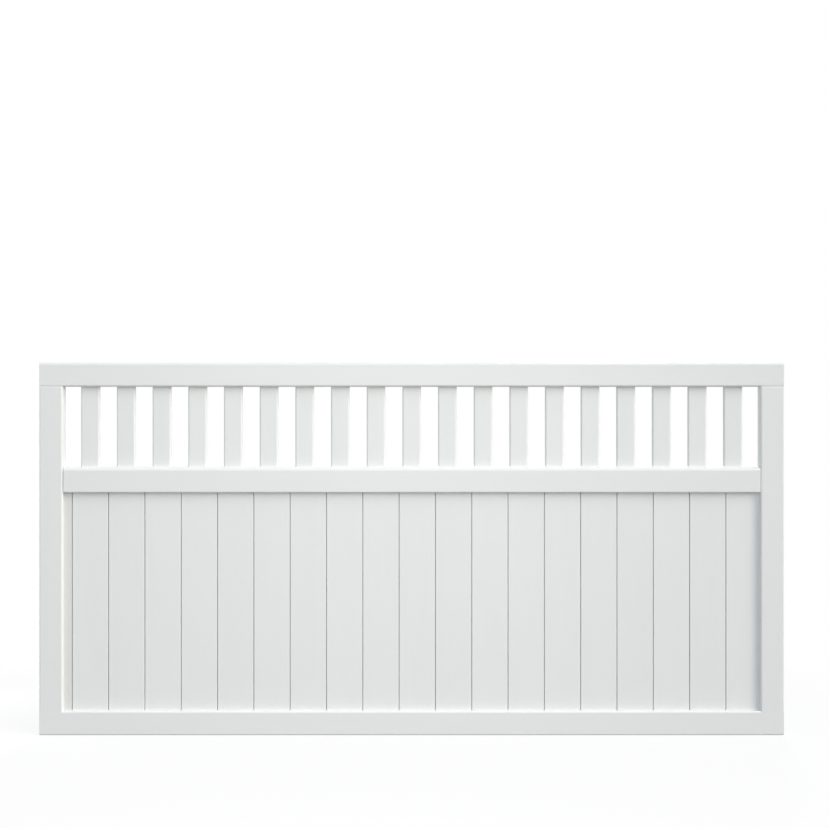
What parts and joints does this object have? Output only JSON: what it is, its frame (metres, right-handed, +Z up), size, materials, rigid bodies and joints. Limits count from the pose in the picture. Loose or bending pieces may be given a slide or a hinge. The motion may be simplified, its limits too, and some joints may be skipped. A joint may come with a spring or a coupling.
{
  "type": "fence panel",
  "caption": "White-painted timber fence panel: a rail and stile frame with an open band of pickets above upright tongue-and-groove boards, to fix between posts.",
  "frame": {"origin": "middle of the left stile's outer face, where the panel is fixed to a post", "axes": "+X along the panel from the left post to the right one, +Y from the front to the back, +Z up"},
  "size_m": [1.8, 0.045, 0.9],
  "materials": {
    "frame_paint": "satin",
    "picket_paint": "satin",
    "board_paint": "satin"
  },
  "bodies": {
    "root": {"top_rail": "frame_paint", "mid_rail": "frame_paint", "bottom_rail": "frame_paint", "left_stile": "frame_paint", "right_stile": "frame_paint", "picket_01": "picket_paint", "picket_02": "picket_paint", "picket_03": "picket_paint", "picket_04": "picket_paint", "picket_05": "picket_paint", "picket_06": "picket_paint", "picket_07": "picket_paint", "picket_08": "picket_paint", "picket_09": "picket_paint", "picket_10": "picket_paint", "picket_11": "picket_paint", "picket_12": "picket_paint", "picket_13": "picket_paint", "picket_14": "picket_paint", "picket_15": "picket_paint", "picket_16": "picket_paint", "picket_17": "picket_paint", "picket_18": "picket_paint", "picket_19": "picket_paint", "board_01": "board_paint", "board_02": "board_paint", "board_03": "board_paint", "board_04": "board_paint", "board_05": "board_paint", "board_06": "board_paint", "board_07": "board_paint", "board_08": "board_paint", "board_09": "board_paint", "board_10": "board_paint", "board_11": "board_paint", "board_12": "board_paint", "board_13": "board_paint", "board_14": "board_paint", "board_15": "board_paint", "board_16": "board_paint", "board_17": "board_paint", "board_18": "board_paint", "board_19": "board_paint", "board_20": "board_paint"}
  },
  "joints": []
}
